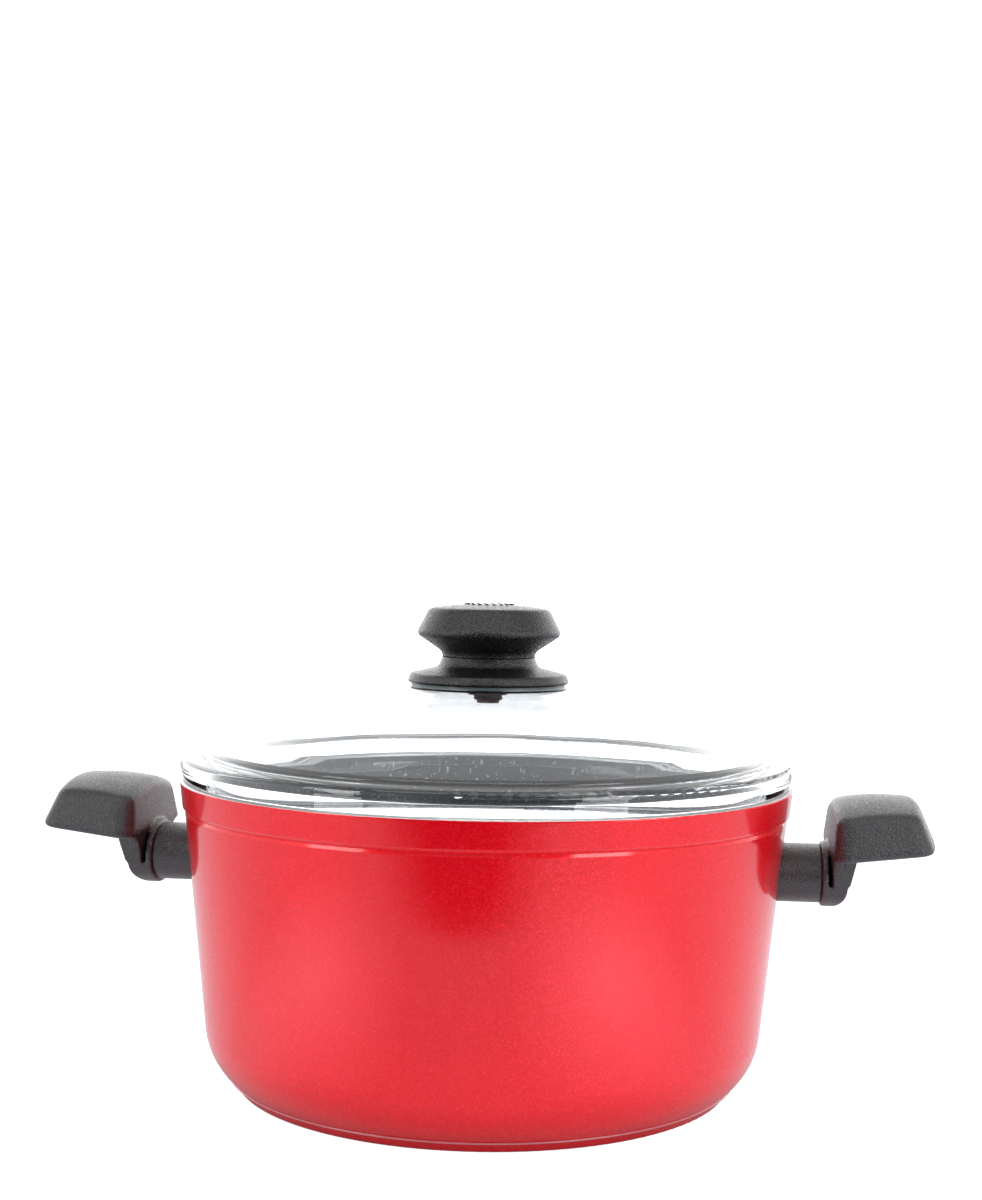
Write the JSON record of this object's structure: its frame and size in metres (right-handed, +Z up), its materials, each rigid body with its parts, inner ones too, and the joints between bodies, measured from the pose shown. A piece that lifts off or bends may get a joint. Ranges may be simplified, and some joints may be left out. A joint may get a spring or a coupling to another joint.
{
  "type": "stock pot",
  "caption": "Red lacquered aluminium stock pot with a non-stick inside, a moulded glass lid with a black waisted knob, and black side handles on short necks.",
  "frame": {"origin": "centre of the base, on the surface that the pot stands on", "axes": "+Z up, +X through the right-hand handle, +Y away from the front"},
  "size_m": [0.3572, 0.2468, 0.1933],
  "materials": {
    "red_lacquer": "metallic red lacquer with a fine sparkle under a clear gloss coat outside; dark grey speckled non-stick inside",
    "induction_steel": "circular-brushed stainless steel",
    "bare_aluminium": "turned",
    "black_bakelite": "fine spark-eroded grain, semi-matte",
    "clear_glass": "clear pressed soda glass",
    "clear_silicone": "translucent grey silicone",
    "dark_silicone": "dark red-brown silicone",
    "fastener_steel": "bright zinc or nickel plate",
    "browned_steel": "dark brown phosphated or coated steel",
    "brass": "turned and knurled"
  },
  "bodies": {
    "pot": {"pot_body": "red_lacquer", "induction_plate": "induction_steel", "left_weld_stud": "bare_aluminium", "left_handle_neck": "black_bakelite", "left_handle_grip": "black_bakelite", "left_handle_washer": "fastener_steel", "left_handle_screw": "fastener_steel", "right_weld_stud": "bare_aluminium", "right_handle_neck": "black_bakelite", "right_handle_grip": "black_bakelite", "right_handle_washer": "fastener_steel", "right_handle_screw": "fastener_steel"},
    "lid": {"glass_lid": "clear_glass", "knob_gasket": "clear_silicone", "knob_skirt": "black_bakelite", "knob_grip": "black_bakelite", "knob_insert": "brass", "lid_seal": "dark_silicone", "lid_washer": "dark_silicone", "lid_screw": "browned_steel"}
  },
  "joints": [
    {"name": "lid_lift", "type": "slide", "parent": "pot", "child": "lid", "axis": [0, 0, 1], "range_m": [0, 0.25]}
  ]
}
